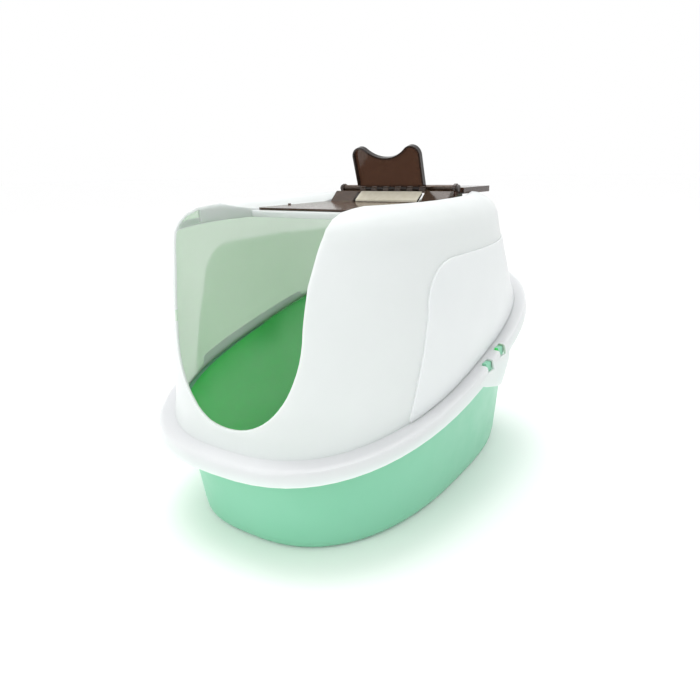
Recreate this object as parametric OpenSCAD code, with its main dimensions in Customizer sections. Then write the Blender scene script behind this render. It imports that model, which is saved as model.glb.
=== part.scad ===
// Hooded litter box: a tall-backed tray, a lift-off hood with an open scooped entrance,
// a flip-top smoked lid with a filter pad, and an ear-shaped hatch over the filter.
// The front (the entrance) faces -Y, the tray stands on z = 0.

/* [Tray and rim] */
// Width over the rim skirt
rim_w = 391; // [330:1:460]
// Length over the rim skirt
rim_l = 560; // [480:1:660]
// Height of the rim skirt's lower edge at the front
rim_front_z = 99.5; // [80:0.5:125]
// How much higher the rim stands at the back than at the front
rim_rise = 137; // [100:1:165]
// Width of the tray's foot
foot_w = 303; // [240:1:330]
// Distance from the rim's front end back to the tray's foot
foot_front_in = 41; // [25:1:70]
// Distance from the rim's back end forward to the tray's foot
foot_rear_in = 21; // [20:1:80]
// Wall of the tray
tray_wall = 2.6; // [2:0.1:4]
// Height of the hood's skirt that hangs over the tray's rim
skirt_h = 15; // [10:0.5:20]
// Free gap between the hood and the tray
seat_gap = 0.4; // [0.3:0.1:0.8]

/* [Hood] */
// Height of the hood's shoulders at mid-length
hood_top_z = 362; // [320:1:420]
// Wall of the hood
hood_wall = 3; // [2.4:0.1:4]
// Radius of the hood's shoulders
shoulder_r = 36; // [28:1:50]
// Depth of the hollow in the roof that holds the lid
roof_drop = 13; // [8:0.5:16]
// Height of the entrance's lowest point
entrance_z = 140; // [130:1:160]
// Width of the entrance where its sides stand upright
entrance_w = 176; // [150:1:190]
// Height of the entrance's curved sill
sill_h = 112; // [80:1:120]
// How much the rear lower band of the hood stands proud
band_proud = 2; // [1:0.1:3]

/* [Lid] */
// Width of the lid
lid_w = 194; // [170:1:210]
// Distance from mid-length forward to the lid's front edge
lid_front = 84; // [70:1:100]
// Thickness of the lid's plate
lid_t = 2.6; // [2:0.1:3.6]
// Distance from mid-length back to the lid's hinge line
hinge_y = 104; // [96:1:120]
// Height of the lid's hinge line over the lid's seat
hinge_up = 20; // [16:0.5:24]
// Diameter of the lid's hinge rod
rod_d = 5; // [4:0.5:6]
// Length of the fixed cover behind the hinge line
cover_l = 92; // [70:1:100]

/* [Hatch] */
// Width of the ear-shaped hatch
hatch_w = 104; // [90:1:130]
// Height of the hatch at its ears
hatch_h = 59; // [45:1:70]
// Depth of the dip between the ears
hatch_dip = 15; // [8:1:20]
// Number of hinge knuckles along the hatch's foot
knuckle_n = 11; // [7:2:13]
// Diameter of the hatch's hinge pin
pin_d = 3; // [2.5:0.5:4]

/* [Hidden] */
$fn = 48;
eps = 0.02;
ring_n = 72;

mint = "#8CC8AC";
white = "#E6EAE8";
smoke = "#4A3026";
cream = "#DDD7C5";

half_w = rim_w / 2;
half_l = rim_l / 2;
rim_bow = 0.13;              // how much of the rim's rise is bowed instead of straight
outline_n = 2.65;            // how square the rim's outline is; 2 is an ellipse
run_fit = 0.1;               // radial gap of each turning pin
side_gap = 0.5;              // gap between parts that swing past each other

// ---- outlines and lofts ------------------------------------------------------------

// A point of a superellipse whose front and back halves have their own length and squareness.
function oval_point(i, a, front, rear, nf, nr) =
    let (t = 360 * i / ring_n, c = cos(t), s = sin(t), n = s < 0 ? nf : nr,
        b = s < 0 ? front : rear)
    [a * sign(c) * pow(abs(c), 2 / n), b * sign(s) * pow(abs(s), 2 / n)];

// Height that the rim gains from the front end back to y.
function rise(y) = let (u = (y + half_l) / rim_l) rim_rise * (u + rim_bow * u * u) / (1 + rim_bow);

// A closed ring that runs along the rim: inset from the skirt's outline, height over its edge.
function rim_ring(inset, up) = [for (i = [0:ring_n - 1])
    let (p = oval_point(i, half_w - inset, half_l - inset, half_l - inset, outline_n, outline_n))
    [p[0], p[1], rim_front_z + up + rise(p[1])]];

// A solid skinned over rings of equal count. Its two end rings are flat and closed, or with
// loop set the last ring joins the first, which makes a closed band.
module loft(rings, loop = false) {
    n = len(rings[0]);
    m = len(rings);
    sides = [for (j = [0:loop ? m - 1 : m - 2], i = [0:n - 1])
        let (k = (i + 1) % n, up = (j + 1) % m)
        each [[j * n + i, up * n + i, up * n + k], [j * n + i, up * n + k, j * n + k]]];
    caps = loop ? [] : [[for (i = [0:n - 1]) i], [for (i = [n - 1:-1:0]) (m - 1) * n + i]];
    polyhedron(points = [for (r = rings) each r], faces = concat(sides, caps), convexity = 12);
}

// Extrudes an outline that is drawn in y and z along x.
module along_x(w) rotate([90, 0, 90]) translate([0, 0, -w / 2]) linear_extrude(w) children();

// The same from x0 to x1, and its mirror image on the other side.
module both_sides(x0, x1) for (side = [-1, 1])
    translate([side * (x0 + x1) / 2, 0, 0]) along_x(x1 - x0) children();

// Extrudes an outline that is drawn in x and z forwards from the y given.
module to_front(from_y, l) translate([0, from_y, 0]) rotate([90, 0, 0]) linear_extrude(l) children();

// A round bar along x with its middle at x = 0.
module bar_x(r, l, y, z) translate([-l / 2, y, z]) rotate([0, 90, 0]) cylinder(r = r, h = l);

// ---- tray --------------------------------------------------------------------------

flange_up = skirt_h;                               // top of the hood's flange over the skirt edge
flange_t = 2.6;                                    // thickness of flange and skirt
tray_top = flange_up - flange_t - seat_gap;        // top of the tray's rim over the skirt edge
wall_in = 19;                                      // hood wall's foot, in from the skirt
lip_out = flange_t + seat_gap + 2.6;               // tray rim's outer edge, in from the skirt
foot_r = 12;                                       // rounding of the tray's foot
foot_n = [2.6, 2.85];                               // squareness of the foot, front and back
wall_off = [4.4, 12, -7];                          // tray wall's extra inset: sides, front, back

// A ring between the foot outline (s = 0) and the rim (s = 1).
function tray_ring(s, base_z, inset, top_inset, top_up) = [for (i = [0:ring_n - 1])
    let (foot_front = half_l - foot_front_in - inset, foot_rear = half_l - foot_rear_in - inset,
        a = (1 - s) * (foot_w / 2 - inset) + s * (half_w - top_inset - wall_off[0]),
        f = (1 - s) * foot_front + s * (half_l - top_inset - wall_off[1]),
        r = (1 - s) * foot_rear + s * (half_l - top_inset - wall_off[2]),
        p = oval_point(i, a, f, r, (1 - s) * foot_n[0] + s * outline_n,
            (1 - s) * foot_n[1] + s * outline_n))
    [p[0], p[1], (1 - s) * base_z + s * (rim_front_z + top_up + rise(p[1]))]];

// One of the lugs on the tray's rim that the hood's side windows drop over.
lug_w = 12;
lug_y = [-14, 24];
window_w = 17;

module rim_lugs() {
    intersection() {
        union() for (y = lug_y, side = [-1, 1])
            translate([side * (half_w - lip_out), y, rim_front_z + rise(y) + tray_top - 5])
                cube([10, lug_w, 16], center = true);
        loft([tray_ring(0, 0, 0, 0, 0), rim_ring(flange_t + seat_gap + 0.6, tray_top - 14),
            rim_ring(flange_t + seat_gap + 1.6, tray_top + 0.2),
            [for (p = rim_ring(60, 0)) [p[0], p[1], hood_top_z]]]);
    }
}

module tray() color(mint) {
    wall_up = tray_top - flange_t;
    outer_in = wall_in - 0.3;
    loft([tray_ring(0, 0, foot_r, 0, 0),
        tray_ring(0, foot_r * 0.13, foot_r * 0.5, 0, 0),
        tray_ring(0, foot_r * 0.5, foot_r * 0.13, 0, 0),
        tray_ring(0.02, foot_r, 0, outer_in, wall_up),
        tray_ring(0.35, foot_r, 0, outer_in, wall_up),
        tray_ring(0.7, foot_r, 0, outer_in, wall_up),
        tray_ring(1, foot_r, 0, outer_in, wall_up),
        rim_ring(lip_out + tray_wall, wall_up),
        rim_ring(lip_out + tray_wall, wall_up - 7),
        rim_ring(lip_out, wall_up - 7),
        rim_ring(lip_out, tray_top - 0.8),
        rim_ring(lip_out + 0.8, tray_top),
        tray_ring(1, foot_r, tray_wall, outer_in + tray_wall, tray_top),
        tray_ring(0.7, foot_r, tray_wall, outer_in + tray_wall, wall_up),
        tray_ring(0.35, foot_r, tray_wall, outer_in + tray_wall, wall_up),
        tray_ring(0.02, foot_r + tray_wall, tray_wall, outer_in + tray_wall, wall_up),
        tray_ring(0, foot_r * 0.5 + tray_wall, foot_r * 0.13 + tray_wall, 0, 0),
        tray_ring(0, foot_r * 0.13 + tray_wall, foot_r * 0.5 + tray_wall, 0, 0),
        tray_ring(0, tray_wall, foot_r + tray_wall, 0, 0)]);
    rim_lugs();
}

// ---- hood --------------------------------------------------------------------------

roof_slope = 0.02;                                 // the roof climbs a little to the back
seat_z = hood_top_z - roof_drop;                   // floor of the roof's hollow
notch_back = lid_front + 4;                        // the entrance's notch ends this far forward

// The room beside the lid is shared between the lean of the hood's wall and the hollow's slope.
lid_margin = 4;                                    // flat floor of the hollow beside the lid
roof_room = half_w - shoulder_r - lid_w / 2 - lid_margin;
top_in = roof_room * 20 / 39;                      // the wall's inset under the shoulder
hollow_in = roof_room - top_in;                    // run of the hollow's slope
lean_drawn = 11;                                   // lean that the wall's stations are drawn for
function side_in(k) = wall_in + k / lean_drawn * (top_in - wall_in);

// Stations up the wall: share of height, side / front / rear insets from the skirt's outline,
// squareness of the front half and of the back half.
wall_steps = [[0, side_in(0), 19, 19, 2.65, 2.65], [0.07, side_in(-1.5), 24, 22, 2.65, 2.5],
    [0.18, side_in(-2), 27, 26, 2.65, 2.35], [0.4, side_in(-0.5), 28, 33, 2.65, 2.25],
    [0.7, side_in(5), 32.5, 41, 2.65, 2.15], [1, side_in(lean_drawn), 39, 49, 2.65, 2.12]];

function roof_z(y) = hood_top_z + roof_slope * y;

// A ring of the wall; grow moves it outwards.
function wall_ring(w, grow) = [for (i = [0:ring_n - 1])
    let (p = oval_point(i, half_w - w[1] + grow, half_l - w[2] + grow, half_l - w[3] + grow,
            w[4], w[5]))
    [p[0], p[1], (1 - w[0]) * (rim_front_z + flange_up + 0.6 + rise(p[1]))
        + w[0] * (roof_z(p[1]) - shoulder_r)]];

// A ring of the rounded shoulder at angle f, for a wall moved by grow.
function shoulder_ring(f, grow) = let (w = wall_steps[5], r = shoulder_r + grow,
        in = r * (1 - cos(f)) - grow)
    [for (i = [0:ring_n - 1])
        let (p = oval_point(i, half_w - w[1] - in, half_l - w[2] - in, half_l - w[3] - in,
                w[4], w[5]))
        [p[0], p[1], roof_z(p[1]) - shoulder_r + r * sin(f)]];

// A ring of the roof's hollow: inset from the top of the shoulder, at height z.
function roof_ring(in, z) = let (w = wall_steps[5], total = shoulder_r + in)
    [for (i = [0:ring_n - 1])
        let (p = oval_point(i, half_w - w[1] - total, half_l - w[2] - total,
                half_l - w[3] - total, w[4], w[5])) [p[0], p[1], z]];

shoulder_angles = [18, 36, 54, 72, 88];

function reversed(v) = [for (i = [len(v) - 1:-1:0]) v[i]];

// The hood as one closed skin: from the roof's underside down the inside, round the skirt's
// edge and up the outside to the top of the roof.
module hood_shell() {
    inner = concat(
        [for (w = wall_steps) wall_ring(w, -hood_wall)],
        [for (f = shoulder_angles) shoulder_ring(f, -hood_wall)]);
    outer = concat(
        [rim_ring(0, 0), rim_ring(1.6, flange_up - 4), rim_ring(2.6, flange_up - 1.4),
            rim_ring(4.8, flange_up - 0.2), rim_ring(8, flange_up), rim_ring(16.5, flange_up)],
        [for (w = wall_steps) wall_ring(w, 0)],
        [for (f = shoulder_angles) shoulder_ring(f, 0)]);
    loft(concat(
        [roof_ring(hollow_in, seat_z - hood_wall),
            roof_ring(hollow_in * 0.6, seat_z - hood_wall + roof_drop * 0.5)],
        reversed(inner),
        [rim_ring(wall_in + hood_wall, flange_up - flange_t),
            rim_ring(flange_t + 2.2, flange_up - flange_t), rim_ring(flange_t, 0)],
        outer,
        [roof_ring(hollow_in * 0.3, seat_z + roof_drop * 0.86),
            roof_ring(hollow_in * 0.65, seat_z + roof_drop * 0.42), roof_ring(hollow_in, seat_z)]));
}

// Where the rear lower band of the hood begins, seen from the side.
band_foot = 152;                                   // from mid-length forward to its foot
band_front = 121;                                  // the same at its upper front corner
band_drop = 57;                                    // from the shoulders down to its top edge
band_r = 50;
module band_side() {
    top = hood_top_z - band_drop;
    translate([band_r - band_front, top - band_r]) circle(band_r);
    polygon([[-band_foot, 0], [half_l, 0], [half_l, top + 6], [band_r - band_front, top],
        [-band_front + 0.1, top - band_r], [-band_foot, rim_front_z + 50]]);
}

// The band's thickness reaches half way into the wall, so that both are one solid.
module proud_band() {
    intersection() {
        loft(concat([for (w = wall_steps) wall_ring(w, band_proud)],
            [for (w = reversed(wall_steps)) wall_ring(w, -hood_wall / 2)]), loop = true);
        along_x(rim_w) band_side();
    }
}

// The entrance seen from the front, with the notch that it runs into.
sill_n = 2.2;                                      // squareness of the sill's curve
notch_w = lid_w + 5;
module entrance_side() {
    half = entrance_w / 2;
    upright_z = entrance_z + sill_h;
    sill = [for (a = [180:5:360]) [half * sign(cos(a)) * pow(abs(cos(a)), 2 / sill_n),
        upright_z - sill_h * pow(abs(sin(a)), 2 / sill_n)]];
    polygon(concat(sill, [[half + 3, seat_z - 57], [notch_w / 2, seat_z - 15],
        [notch_w / 2, hood_top_z + 30], [-notch_w / 2, hood_top_z + 30],
        [-notch_w / 2, seat_z - 15], [-half - 3, seat_z - 57]]));
}

// The skirt's latch tabs at mid-length, seen from the side.
tab_depth = 21;
module tab_side() {
    edge = rim_front_z + rise(0);
    translate([0, edge]) polygon([[-54, 4], [-44, -8], [-30, -13], [2, -tab_depth], [12, -tab_depth],
        [22, -tab_depth + 7], [42, 2], [52, 20], [-54, 10]]);
}

tab_lean = 0.14;                                   // how far the skirt leans out, per mm of depth
module skirt_tabs() {
    low = 1.7 * tab_depth;
    intersection() {
        loft([rim_ring(flange_t, flange_up / 2), rim_ring(flange_t, 0),
            rim_ring(flange_t - low * tab_lean, -low), rim_ring(-low * tab_lean, -low),
            rim_ring(0, 0), rim_ring(0.9, flange_up / 2)], loop = true);
        along_x(rim_w + 2 * tab_depth) tab_side();
    }
}

// The floor of the roof's hollow, carried on to the back of the shoulders.
module roof_floor() {
    intersection() {
        loft([for (f = concat([0], shoulder_angles)) shoulder_ring(f, -0.4)]);
        translate([-notch_w / 2 - 3, -notch_back, seat_z - hood_wall])
            cube([notch_w + 6, half_l + notch_back, hood_wall]);
    }
}

// The turned-down edge that stiffens the notch's back and the back half of its sides.
lip_h = 8;
lip_l = 84;
module notch_lip() {
    intersection() {
        loft(concat([for (f = concat([0], shoulder_angles)) shoulder_ring(f, -0.4)],
            [roof_ring(hollow_in * 0.3, seat_z + roof_drop * 0.86 - 0.4),
                roof_ring(hollow_in * 0.65, seat_z + roof_drop * 0.42 - 0.4),
                roof_ring(hollow_in, seat_z - 0.4)]));
        difference() {
            translate([-notch_w / 2 - hood_wall, -notch_back - lip_l, seat_z - lip_h])
                cube([notch_w + 2 * hood_wall, lip_l + hood_wall, hood_top_z]);
            translate([-notch_w / 2, -notch_back - lip_l - 1, seat_z - lip_h - 1])
                cube([notch_w, lip_l + 1, hood_top_z]);
        }
    }
}

opening_w = lid_w - 34;                            // opening in the roof under the lid
opening_front = lid_front - 10;
opening_back = hinge_y - 18;
module hood() color(white) {
    difference() {
        union() {
            hood_shell();
            proud_band();
            skirt_tabs();
            roof_floor();
            notch_lip();
        }
        to_front(-notch_back, half_l) entrance_side();
        translate([-notch_w / 2, -notch_back - 1, seat_z]) cube([notch_w, half_l * 1.5, 60]);
        translate([-opening_w / 2, -opening_front, seat_z - 20])
            cube([opening_w, opening_front + opening_back, 40]);
        for (y = lug_y, side = [-1, 1])
            translate([side * (half_w + 8), y, rim_front_z + rise(y) + 5 + 15])
                cube([2 * (8 + 11), window_w, 30], center = true);
    }
}

// ---- lid ---------------------------------------------------------------------------

lid_z = seat_z + seat_gap;                         // underside of the lid
hinge_z = lid_z + hinge_up;
barrel_r = rod_d / 2 + 1.8;
post_in = 6.2;                                     // hinge post's middle, in from the lid's side
post_t = 3.5;
post_x = lid_w / 2 - post_in - post_t;             // inner face of each post
barrel_l = 2 * (post_x - side_gap);
pin_y = hinge_y - 13.5;
pin_z = lid_z + hinge_up - 0.4;
knuckle_r = pin_d / 2 + 1.4;
web_top = hinge_up - 3.4;                          // top of the lid's bridge, over its underside
web_t = 2.4;
web_front = pin_y - 4.5;
ramp_front = web_front - 16;                       // where the lid's housing begins to climb
housing_w = 2 * (lid_w / 2 - 6);
bay_w = hatch_w + 3;                               // width of the bay under the hatch
corner_r = 12;
housing_t = 2.2;
nub_y = -18;

// One knuckle of a row along the pin; k counts from the left.
knuckle_pitch = hatch_w / knuckle_n;
function knuckle_x(k) = (k - (knuckle_n - 1) / 2) * knuckle_pitch;
knuckle_w = knuckle_pitch - side_gap;

module knuckle(k, from_z, to_z, t) {
    translate([knuckle_x(k) - knuckle_w / 2, pin_y, pin_z]) rotate([0, 90, 0])
        cylinder(r = knuckle_r, h = knuckle_w);
    translate([knuckle_x(k) - knuckle_w / 2, pin_y - t / 2, from_z])
        cube([knuckle_w, t, to_z - from_z]);
}

// Lid's plate with its rounded front corners, from its front edge back to the housing.
module lid_plate() {
    half = lid_w / 2;
    linear_extrude(lid_t) difference() {
        union() {
            translate([-half, corner_r - lid_front])
                square([lid_w, lid_front - corner_r + ramp_front]);
            translate([corner_r - half, -lid_front])
                square([lid_w - 2 * corner_r, corner_r + 1]);
            for (side = [-1, 1]) translate([side * (half - corner_r), corner_r - lid_front])
                circle(corner_r);
        }
    }
    for (side = [-1, 1]) translate([side * (half - 1.2), nub_y, lid_t])
        cylinder(d = 4, h = 1.6);
}

// The raised blocks on each side of the bay, open underneath.
module housing() {
    difference() {
        both_sides(bay_w / 2, housing_w / 2) polygon([[ramp_front - 0.4, 0], [ramp_front - 0.4, lid_t],
            [web_front, web_top], [web_front + 8, web_top], [web_front + 8, 0]]);
        both_sides(bay_w / 2 + housing_t, housing_w / 2 - housing_t)
            polygon([[ramp_front + 4, -1], [ramp_front + 4, lid_t], [web_front + 1, web_top - housing_t],
                [web_front + 8 - housing_t, web_top - housing_t], [web_front + 8 - housing_t, -1]]);
    }
}

module top_lid() color(smoke) {
    difference() {
        union() {
            translate([0, 0, lid_z]) {
                lid_plate();
                housing();
                translate([-barrel_l / 2, web_front, web_top - web_t])
                    cube([barrel_l, hinge_y - web_front, web_t]);
            }
            bar_x(barrel_r, barrel_l, hinge_y, hinge_z);
            for (k = [0:2:knuckle_n - 1])
                knuckle(k, lid_z + web_top - 1, pin_z, 2 * knuckle_r);
        }
        bar_x(rod_d / 2 + run_fit, lid_w, hinge_y, hinge_z);
        bar_x(pin_d / 2, hatch_w + 2, pin_y, pin_z);
    }
}

// ---- fixed cover and hinge rod ---------------------------------------------------------

cover_front = hinge_y + barrel_r + 4;
cover_t = 2.4;
cover_skirt = 8;
cover_top = hinge_z + 0.6;
leg_d = 10;
leg_x = 60;

module rear_cover() color(smoke) {
    half = lid_w / 2;
    difference() {
        union() {
            difference() {
                translate([-half, cover_front, cover_top - cover_skirt])
                    cube([lid_w, cover_l, cover_skirt]);
                translate([cover_t - half, cover_front - 1, cover_top - cover_skirt - 1])
                    cube([lid_w - 2 * cover_t, cover_l + 1 - cover_t, cover_skirt + 1 - cover_t]);
            }
            both_sides(post_x, post_x + post_t) {
                polygon([[hinge_y - rod_d - 1, seat_z], [cover_front + 10, seat_z],
                    [cover_front + 10, cover_top - 0.5], [hinge_y, cover_top - 0.5],
                    [hinge_y - rod_d - 1, hinge_z]]);
                translate([hinge_y, hinge_z]) circle(rod_d + 1);
            }
            for (x = [-leg_x, leg_x], y = [cover_front + 16, cover_front + cover_l - 26])
                translate([x, y, seat_z]) cylinder(d = leg_d, h = cover_top - cover_t / 2 - seat_z);
        }
        bar_x(rod_d / 2, lid_w, hinge_y, hinge_z);
    }
}

head_t = 3;
module lid_hinge_rod() color("#3A3230") {
    bar_x(rod_d / 2, 2 * (post_x + post_t) + eps, hinge_y, hinge_z);
    for (side = [-1, 1]) translate([side * (post_x + post_t + head_t / 2), 0, 0])
        bar_x(rod_d * 0.9, head_t, hinge_y, hinge_z);
}

// ---- hatch and filter --------------------------------------------------------------------

hatch_t = 2.2;
hatch_rim = 5;
hatch_lean = 18;                                   // the open hatch leans forwards a little
ear_r = 13;
ear_x = hatch_w / 2 - ear_r;
ear_z = hatch_h - ear_r;
// The dip's arc meets both ears' arcs without a corner.
dip_r = (ear_x * ear_x + pow(hatch_dip - ear_r, 2) - ear_r * ear_r) / (2 * hatch_dip);
dip_z = hatch_h - hatch_dip + dip_r;

// Ear-topped outline, drawn in x and z over the pin, shrunk inwards by in.
module ear_outline(in) {
    half = hatch_w / 2 - in;
    foot = knuckle_r + 0.6;
    to_dip = [-ear_x, dip_z - ear_z] / norm([ear_x, dip_z - ear_z]);
    meet = [ear_x, ear_z] + to_dip * (ear_r - in);
    difference() {
        union() {
            polygon([[-half, foot], [half, foot], [half, ear_z], meet, [-meet[0], meet[1]],
                [-half, ear_z]]);
            for (side = [-1, 1]) translate([side * ear_x, ear_z]) circle(ear_r - in);
        }
        translate([0, dip_z]) circle(dip_r + in);
    }
}

module filter_hatch() color(smoke) {
    rim_foot = 6;
    translate([0, pin_y, pin_z]) rotate([hatch_lean, 0, 0]) translate([0, -pin_y, -pin_z])
    difference() {
        union() {
            translate([0, pin_y + hatch_t / 2, pin_z]) rotate([90, 0, 0])
                linear_extrude(hatch_t) ear_outline(0);
            translate([0, pin_y, pin_z]) rotate([90, 0, 0]) linear_extrude(hatch_t / 2 + hatch_rim)
                intersection() {
                    difference() {
                        ear_outline(0);
                        ear_outline(2.4);
                    }
                    translate([-hatch_w, rim_foot]) square([2 * hatch_w, 2 * hatch_h]);
                }
            for (k = [1:2:knuckle_n - 2]) knuckle(k, pin_z, pin_z + knuckle_r + 2, hatch_t);
        }
        bar_x(pin_d / 2 + run_fit, hatch_w + 2, pin_y, pin_z);
    }
}

module hatch_hinge_pin() color("#3A3230") bar_x(pin_d / 2, hatch_w - 1, pin_y, pin_z);

pad_w = hatch_w - 7;
retainer_t = 2.2;
pad_t = 2.8;
pad_low = lid_t + 0.2;
pad_high = web_top - 2.8;

module filter_pad() color(cream) translate([0, 0, lid_z]) along_x(pad_w)
    polygon([[ramp_front, pad_low], [web_front, pad_high], [web_front, pad_high + pad_t],
        [ramp_front, pad_low + pad_t]]);

module filter_retainer() color(smoke) translate([0, 0, lid_z]) difference() {
    along_x(pad_w) polygon([[ramp_front, pad_low], [ramp_front, pad_low - retainer_t],
        [web_front, pad_high - retainer_t], [web_front, pad_high]]);
    slots = 9;
    pitch = (pad_w - 8) / slots;
    for (i = [0:slots - 1])
        translate([(i - (slots - 1) / 2) * pitch, (ramp_front + web_front) / 2, hinge_up / 2])
            cube([pitch - 3, web_front - ramp_front - 8, hinge_up * 2], center = true);
}

tray();
hood();
top_lid();
rear_cover();
lid_hinge_rod();
filter_hatch();
hatch_hinge_pin();
filter_pad();
filter_retainer();
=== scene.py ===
import math

import bpy
from mathutils import Matrix, Vector


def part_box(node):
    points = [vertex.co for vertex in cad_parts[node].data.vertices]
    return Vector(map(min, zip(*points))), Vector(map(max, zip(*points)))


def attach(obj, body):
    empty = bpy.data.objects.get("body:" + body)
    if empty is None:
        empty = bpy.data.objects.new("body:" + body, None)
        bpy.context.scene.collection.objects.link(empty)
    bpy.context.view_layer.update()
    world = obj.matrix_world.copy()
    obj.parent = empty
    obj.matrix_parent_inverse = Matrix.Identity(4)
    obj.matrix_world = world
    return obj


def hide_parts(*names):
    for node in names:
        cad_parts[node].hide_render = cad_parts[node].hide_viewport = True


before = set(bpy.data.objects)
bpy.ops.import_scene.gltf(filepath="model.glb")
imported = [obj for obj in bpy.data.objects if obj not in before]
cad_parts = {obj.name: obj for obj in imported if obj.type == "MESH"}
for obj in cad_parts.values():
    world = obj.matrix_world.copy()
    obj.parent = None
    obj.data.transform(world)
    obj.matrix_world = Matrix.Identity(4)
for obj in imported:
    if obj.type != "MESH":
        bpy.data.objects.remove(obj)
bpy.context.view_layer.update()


# ---- Studio ----------------------------------------------------------------------------
# A white sweep under soft light. The camera stands at the front right corner of the box,
# a little above its lid, close enough for the front to look larger than the back.

def linear(hex_colour):
    """An sRGB hex colour as linear red, green, blue and alpha."""
    parts = [int(hex_colour[i:i + 2], 16) / 255 for i in (1, 3, 5)]
    return [c / 12.92 if c <= 0.04045 else ((c + 0.055) / 1.055) ** 2.4 for c in parts] + [1.0]


def add(tree, kind, values=None, links=None):
    """Adds a shader node, sets its values by name or by socket, and links its inputs."""
    made = tree.nodes.new(kind)
    for key, value in (values or {}).items():
        if isinstance(key, int) or key in made.inputs:
            made.inputs[key].default_value = value
        else:
            setattr(made, key, value)
    for key, source in (links or {}).items():
        tree.links.new(source, made.inputs[key])
    return made


def start_material(name):
    """An empty node material with its output, ready for a shader."""
    material = bpy.data.materials.new(name)
    material.use_nodes = True
    material.node_tree.nodes.clear()
    return material, material.node_tree


eye = Vector((0.428, -0.6552, 0.3947))
looks_at = Vector((0, 0, 0.15))
camera_roll = math.radians(-0.96)

forward = (looks_at - eye).normalized()
level = forward.cross(Vector((0, 0, 1))).normalized()
upright = level.cross(forward)
right = level * math.cos(camera_roll) + upright * math.sin(camera_roll)
up = upright * math.cos(camera_roll) - level * math.sin(camera_roll)

camera = bpy.data.objects.new("camera", bpy.data.cameras.new("camera"))
camera.data.sensor_width = 36
camera.data.lens = 30.67
camera.data.shift_x = -0.0136
camera.data.shift_y = 0.009
turned = Matrix((right, up, -forward)).transposed().to_4x4()
camera.matrix_world = Matrix.Translation(eye) @ turned
bpy.context.collection.objects.link(camera)
bpy.context.scene.camera = camera
bpy.context.scene.view_settings.view_transform = "Standard"

world = bpy.data.worlds.new("studio")
bpy.context.scene.world = world
world.use_nodes = True
world.node_tree.nodes.clear()
sky = add(world.node_tree, "ShaderNodeBackground", {"Color": linear("#FFFFFF"), "Strength": 1.0})
add(world.node_tree, "ShaderNodeOutputWorld", links={"Surface": sky.outputs[0]})


def soft_light(name, place, size, power):
    """A square soft box that faces the middle of the litter box."""
    lamp = bpy.data.objects.new(name, bpy.data.lights.new(name, "AREA"))
    lamp.data.size = size
    lamp.data.energy = power
    lamp.location = place
    lamp.rotation_euler = (Vector((0, 0, 0.2)) - Vector(place)).to_track_quat("-Z", "Y").to_euler()
    bpy.context.collection.objects.link(lamp)


soft_light("top_light", (-0.3, 0.1, 2.2), 1.6, 24)
soft_light("entrance_light", (-0.3, -1.8, 1.0), 1.0, 5)

bpy.ops.object.select_all(action="DESELECT")
bpy.ops.mesh.primitive_plane_add(size=60, location=(0, 0, 0))
floor = bpy.context.object
floor.name = "studio_floor"
paper, tree = start_material("matt_white_paper")
surface = add(tree, "ShaderNodeBsdfPrincipled",
              {"Base Color": linear("#FFFFFF"), "Roughness": 0.9, "Specular IOR Level": 0.1})
add(tree, "ShaderNodeOutputMaterial", links={"Surface": surface.outputs[0]})
floor.data.materials.append(paper)


# ---- Tray ------------------------------------------------------------------------------
# The tray is one injection moulding in mint polypropylene. Its mould was spark-eroded, so
# the outside is satin with a fine grain. Its inside is painted a stronger green as painted green
# bounce light.

crease = math.radians(34)


def finished_copy(node, name, edge):
    """A merged copy of a CAD node, its corners rounded to a radius of edge, and smooth."""
    piece = bpy.data.objects.new(name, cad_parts[node].data.copy())
    bpy.context.collection.objects.link(piece)
    piece.data.materials.clear()
    bpy.ops.object.select_all(action="DESELECT")
    piece.select_set(True)
    bpy.context.view_layer.objects.active = piece
    if piece.data.has_custom_normals:
        bpy.ops.mesh.customdata_custom_splitnormals_clear()
    bpy.ops.object.mode_set(mode="EDIT")
    bpy.ops.mesh.select_all(action="SELECT")
    bpy.ops.mesh.remove_doubles(threshold=0.00002)
    bpy.ops.mesh.tris_convert_to_quads(face_threshold=math.radians(3),
                                       shape_threshold=math.radians(60))
    bpy.ops.object.mode_set(mode="OBJECT")
    rounding = piece.modifiers.new("rounding", "BEVEL")
    rounding.width = edge
    rounding.segments = 2
    rounding.limit_method = "ANGLE"
    rounding.angle_limit = crease
    bpy.ops.object.modifier_apply(modifier="rounding")
    bpy.ops.object.shade_smooth_by_angle(angle=crease)
    weighting = piece.modifiers.new("weighting", "WEIGHTED_NORMAL")
    weighting.keep_sharp = True
    bpy.ops.object.modifier_apply(modifier="weighting")
    return piece


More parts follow.
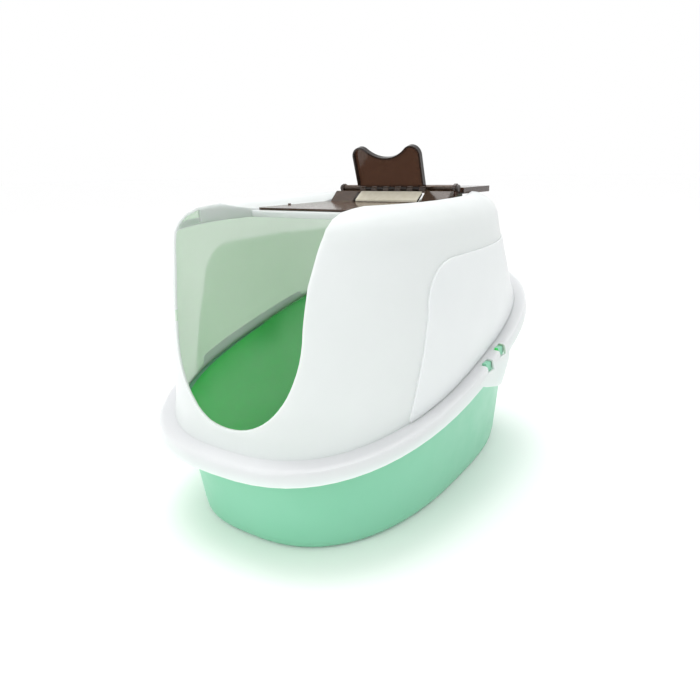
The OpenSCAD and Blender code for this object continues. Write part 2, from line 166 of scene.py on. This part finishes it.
def moulded_polypropylene(name, main, pale, glow, depth, satin):
    """Satin moulded polypropylene: cloudy colour, spark-eroded grain, light just under the skin."""
    material, tree = start_material(name)
    place = add(tree, "ShaderNodeTexCoord").outputs["Object"]
    cloud = add(tree, "ShaderNodeTexNoise", {"Scale": 14, "Detail": 3}, {"Vector": place})
    tint = add(tree, "ShaderNodeMix", {"data_type": "RGBA", 6: linear(main), 7: linear(pale)},
               {0: cloud.outputs[0]})
    # Grain of about a millimetre; the real one is half that and too fine to show.
    grain = add(tree, "ShaderNodeTexNoise", {"Scale": 900, "Detail": 2}, {"Vector": place})
    handling = add(tree, "ShaderNodeTexNoise", {"Scale": 30, "Detail": 4}, {"Vector": place})
    sheen = add(tree, "ShaderNodeMapRange",
                {"From Min": 0.3, "From Max": 0.7, "To Min": satin - 0.05, "To Max": satin + 0.06},
                {"Value": handling.outputs[0]})
    bump = add(tree, "ShaderNodeBump", {"Strength": 0.12, "Distance": 0.0003},
               {"Height": grain.outputs[0]})
    surface = add(tree, "ShaderNodeBsdfPrincipled",
                  {"IOR": 1.49, "Subsurface Weight": glow, "Subsurface Scale": depth,
                   "Subsurface Radius": (1, 1, 1)},
                  {"Base Color": tint.outputs[2], "Roughness": sheen.outputs[0],
                   "Normal": bump.outputs[0]})
    add(tree, "ShaderNodeOutputMaterial", links={"Surface": surface.outputs[0]})
    return material


tray = finished_copy("tray", "tray_moulding", 0.0005)
tray.data.materials.append(moulded_polypropylene(
    "moulded_mint_polypropylene", "#7DC2A1", "#87C8AA", 0.1, 0.008, 0.36))
# A second, brighter and more saturated copy of the same mint: painted green bounce light for the
# inside faces.
tray.data.materials.append(moulded_polypropylene(
    "mint_polypropylene_painted_bounce_light", "#3ADC60", "#44E26A", 0.3, 0.03, 0.34))
bed_top = 0.03
foot_edge = 0.002
# The litter bed and the inward-facing walls take the painted bounce light copy of the mint.
for face in tray.data.polygons:
    inwards = Vector((-face.center.x, -face.center.y, 0)).dot(face.normal)
    litter_bed = face.normal.z > 0.7 and face.center.z < bed_top
    face.material_index = int(litter_bed or (inwards > 0.002 and face.center.z > foot_edge))
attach(tray, "tray")
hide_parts("tray")


# ---- Hood ------------------------------------------------------------------------------
# The hood is one injection moulding in white polypropylene, thin enough to let some light
# through. It drops over the tray's rim, and a proud band runs round its rear lower half.
# Its inside is painted darker and greener, as painted shade and painted green light bounced up from
# the tray.

hood = finished_copy("hood", "hood_moulding", 0.0005)
hood.data.materials.append(moulded_polypropylene(
    "moulded_white_polypropylene", "#D8DBDD", "#DEE1E3", 0.7, 0.014, 0.36))
# A darker, green-tinted copy of the same white: painted shade and painted green bounce light for
# the inside faces.
hood.data.materials.append(moulded_polypropylene(
    "white_polypropylene_painted_shade_and_green_bounce", "#B9D5BA", "#C1DAC2", 0.85, 0.03, 0.4))
roof_starts = 0.3
wall_ends = 0.335
# The underside of the roof and the inner walls below the lip take the painted shade and bounce
# copy.
for face in hood.data.polygons:
    inwards = Vector((-face.center.x, -face.center.y, 0)).dot(face.normal)
    under_roof = face.normal.z < -0.5 and face.center.z > roof_starts
    inner_wall = inwards > 0.01 and face.normal.z < 0.05 and face.center.z < wall_ends
    face.material_index = int(under_roof or inner_wall)
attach(hood, "hood")
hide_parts("hood")


# ---- Smoked lid, rear cover and hatch ----------------------------------------------------
# Four clear mouldings in smoke-tinted styrene, polished on both faces. The lid flips on the
# rod, the cover stands fixed behind it, the hatch is pinned to the lid, and the slotted
# retainer carries the filter.

def smoked_styrene(name, tint_hex, clear, gloss):
    """Polished smoke-tinted styrene: sees through, with faint flow lines and fine scuffs."""
    material, tree = start_material(name)
    place = add(tree, "ShaderNodeTexCoord").outputs["Object"]
    flow = add(tree, "ShaderNodeTexNoise", {"Scale": 45, "Detail": 2, "Distortion": 0.6},
               {"Vector": place})
    scuffs = add(tree, "ShaderNodeTexNoise", {"Scale": 260, "Detail": 4}, {"Vector": place})
    polish = add(tree, "ShaderNodeMapRange",
                 {"From Min": 0.35, "From Max": 0.75, "To Min": 0.07, "To Max": 0.2},
                 {"Value": scuffs.outputs[0]})
    bump = add(tree, "ShaderNodeBump", {"Strength": 0.08, "Distance": 0.0005},
               {"Height": flow.outputs[0]})
    surface = add(tree, "ShaderNodeBsdfPrincipled",
                  {"Base Color": linear(tint_hex), "IOR": 1.58, "Specular IOR Level": gloss,
                   "Transmission Weight": clear},
                  {"Roughness": polish.outputs[0], "Normal": bump.outputs[0]})
    add(tree, "ShaderNodeOutputMaterial", links={"Surface": surface.outputs[0]})
    return material


smoked = smoked_styrene("smoked_styrene", "#54392B", 0.75, 0.3)
smoked_lid = smoked_styrene("smoked_styrene_lid", "#6E5747", 0.75, 0.0)
smoked_rim = smoked_styrene("smoked_styrene_rim", "#2B211D", 0.45, 0.3)
hatch_lean = math.radians(18)
hatch_back = Vector((0, math.cos(hatch_lean), math.sin(hatch_lean)))
plate_t = 0.003
ears_h = 0.03
for node, name, body in (("top_lid", "flip_lid", "lid"),
                         ("rear_cover", "rear_cover_plate", "hood"),
                         ("filter_hatch", "ear_hatch", "hatch"),
                         ("filter_retainer", "slotted_retainer", "lid")):
    part = finished_copy(node, name, 0.0003)
    part.data.materials.append(smoked_lid if node == "top_lid" else smoked)
    if node == "filter_hatch":
        # The hatch's plate is thin and clear; its turned rim is deep, so it looks nearly black.
        part.data.materials.append(smoked_rim)
        back = max(vertex.co.dot(hatch_back) for vertex in part.data.vertices
                   if vertex.co.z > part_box(node)[1].z - ears_h)
        for face in part.data.polygons:
            flat = abs(face.normal.dot(hatch_back)) > 0.95
            on_plate = face.center.dot(hatch_back) > back - plate_t
            face.material_index = int(not (flat and on_plate))
    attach(part, body)
    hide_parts(node)


# ---- Hinge rod and pin -------------------------------------------------------------------
# The rod that the lid turns on, with its two heads, and the thinner pin along the hatch's
# foot. Both are dark moulded acetal, waxy and a little worn where they turn.

def moulded_acetal(name):
    """Dark acetal: waxy sheen, with paler rubbed patches."""
    material, tree = start_material(name)
    place = add(tree, "ShaderNodeTexCoord").outputs["Object"]
    rub = add(tree, "ShaderNodeTexNoise", {"Scale": 180, "Detail": 4}, {"Vector": place})
    tint = add(tree, "ShaderNodeMix",
               {"data_type": "RGBA", 6: linear("#332C2A"), 7: linear("#463E3A")},
               {0: rub.outputs[0]})
    bump = add(tree, "ShaderNodeBump", {"Strength": 0.1, "Distance": 0.0002},
               {"Height": rub.outputs[0]})
    surface = add(tree, "ShaderNodeBsdfPrincipled", {"Roughness": 0.32, "IOR": 1.48},
                  {"Base Color": tint.outputs[2], "Normal": bump.outputs[0]})
    add(tree, "ShaderNodeOutputMaterial", links={"Surface": surface.outputs[0]})
    return material


acetal = moulded_acetal("moulded_acetal")
for node, name, body in (("lid_hinge_rod", "lid_rod", "hood"),
                         ("hatch_hinge_pin", "hatch_pin", "lid")):
    part = finished_copy(node, name, 0.0003)
    part.data.materials.append(acetal)
    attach(part, body)
    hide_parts(node)


# ---- Filter felt -------------------------------------------------------------------------
# The filter is a die-cut piece of cream needle-punched felt that lies on the retainer. Its
# faces are lightly furred and uneven, and its cut edges are soft.

def needle_felt(name):
    """Needle felt: matted fibres about half a millimetre apart, with a soft sheen."""
    material, tree = start_material(name)
    place = add(tree, "ShaderNodeTexCoord").outputs["Object"]
    fibres = add(tree, "ShaderNodeTexNoise", {"Scale": 1400, "Detail": 5, "Distortion": 1.5},
                 {"Vector": place})
    mats = add(tree, "ShaderNodeTexNoise", {"Scale": 160, "Detail": 3}, {"Vector": place})
    tint = add(tree, "ShaderNodeMix",
               {"data_type": "RGBA", 6: linear("#C5BEA8"), 7: linear("#D8D3C3")},
               {0: mats.outputs[0]})
    bump = add(tree, "ShaderNodeBump", {"Strength": 0.6, "Distance": 0.0005},
               {"Height": fibres.outputs[0]})
    surface = add(tree, "ShaderNodeBsdfPrincipled",
                  {"Roughness": 0.95, "Specular IOR Level": 0.15, "Sheen Weight": 0.35},
                  {"Base Color": tint.outputs[2], "Normal": bump.outputs[0]})
    add(tree, "ShaderNodeOutputMaterial", links={"Surface": surface.outputs[0]})
    return material


felt = finished_copy("filter_pad", "filter_felt_sheet", 0.0007)
bpy.ops.object.mode_set(mode="EDIT")
bpy.ops.mesh.select_all(action="SELECT")
bpy.ops.mesh.subdivide(number_cuts=16)
bpy.ops.object.mode_set(mode="OBJECT")
matting = bpy.data.textures.new("matted_fibre", "CLOUDS")
matting.noise_scale = 0.006
unevenness = felt.modifiers.new("unevenness", "DISPLACE")
unevenness.texture = matting
unevenness.strength = 0.0005
bpy.ops.object.modifier_apply(modifier="unevenness")
felt.data.materials.append(needle_felt("needle_felt"))
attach(felt, "lid")
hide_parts("filter_pad")
